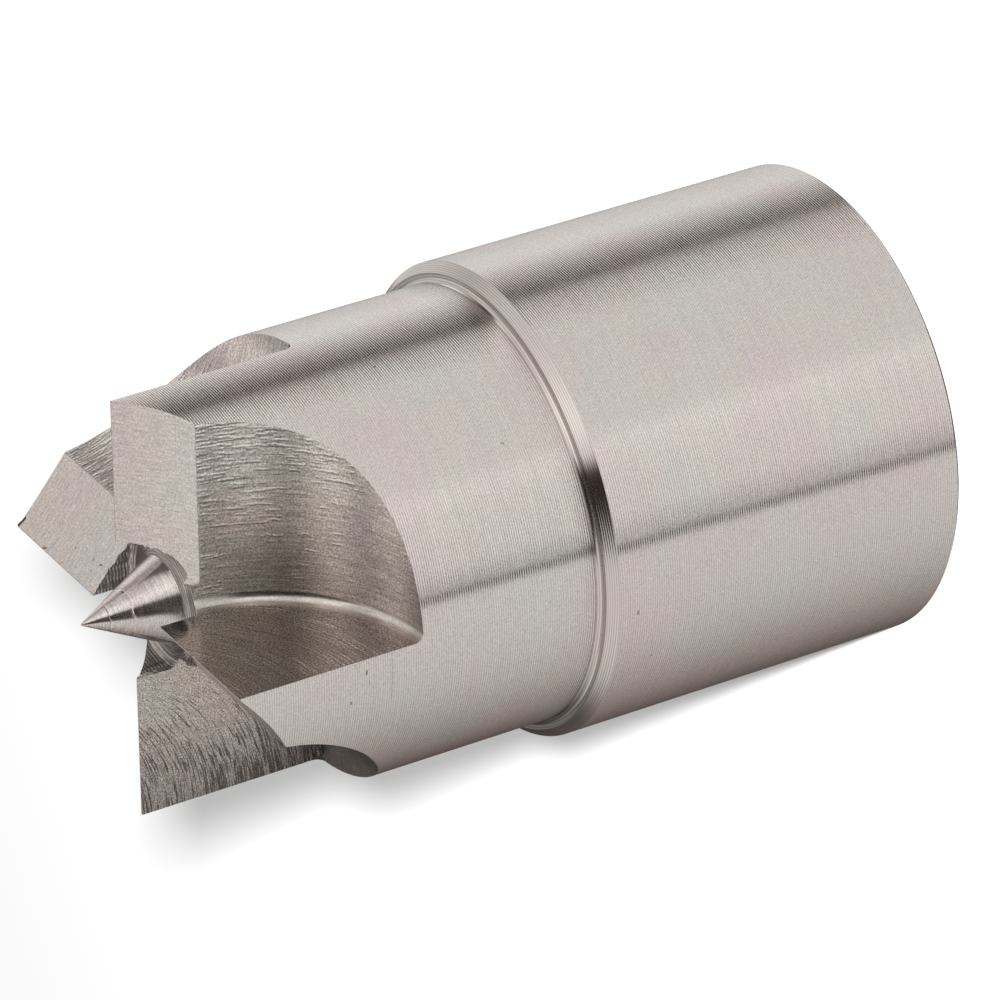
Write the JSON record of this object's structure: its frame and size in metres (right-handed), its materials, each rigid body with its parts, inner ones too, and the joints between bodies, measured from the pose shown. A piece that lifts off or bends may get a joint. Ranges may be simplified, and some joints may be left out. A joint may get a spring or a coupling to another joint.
{
  "type": "four-prong drive centre",
  "caption": "Steel drive centre for a wood lathe: chisel-edged prongs round a sharp point on a thick barrel, with a blind spindle socket behind.",
  "frame": {"origin": "middle of the rear face, on the turning axis, with the part standing on that face", "axes": "+Z along the turning axis towards the prongs and the point; +X along the chisel edge of the first prong"},
  "size_m": [0.04, 0.04, 0.0701],
  "materials": {
    "bright_steel": "fine turned and milled, left bright"
  },
  "bodies": {
    "root": {"drive_centre": "bright_steel"}
  },
  "joints": []
}
